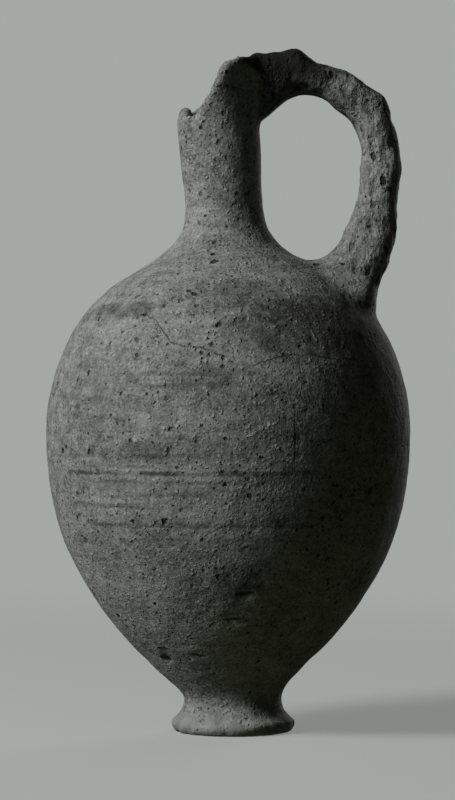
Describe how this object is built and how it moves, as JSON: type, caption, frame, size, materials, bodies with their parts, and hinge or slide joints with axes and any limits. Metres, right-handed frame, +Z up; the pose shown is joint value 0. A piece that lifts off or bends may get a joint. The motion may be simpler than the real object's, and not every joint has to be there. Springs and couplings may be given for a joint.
{
  "type": "ceramic jug",
  "caption": "Unglazed ceramic jug on a small flared foot, with a round belly, a narrow leaning neck, a worn slanting mouth and a thick loop handle.",
  "frame": {"origin": "centre of the jug's footprint box, on the plane that it stands on and on the belly's axis", "axes": "+Z up along the belly's axis, +X from the axis toward the handle, +Y to the far side when the handle is on the right"},
  "size_m": [0.133, 0.133, 0.2503],
  "materials": {
    "body_clay": "matt unglazed, pitted, with faded dark bands",
    "foot_clay": "matt unglazed, with a pale crust",
    "neck_clay": "matt unglazed, pitted and worn",
    "handle_clay": "matt unglazed, coarse and gouged"
  },
  "bodies": {
    "root": {"foot": "foot_clay", "foot_join_coil": "foot_clay", "lower_body": "body_clay", "shoulder": "body_clay", "neck_join_coil": "neck_clay", "neck": "neck_clay", "mouth": "neck_clay", "handle": "handle_clay", "handle_root_pad": "handle_clay", "handle_top_pad": "handle_clay", "handle_tenon_wad": "handle_clay"}
  },
  "joints": []
}
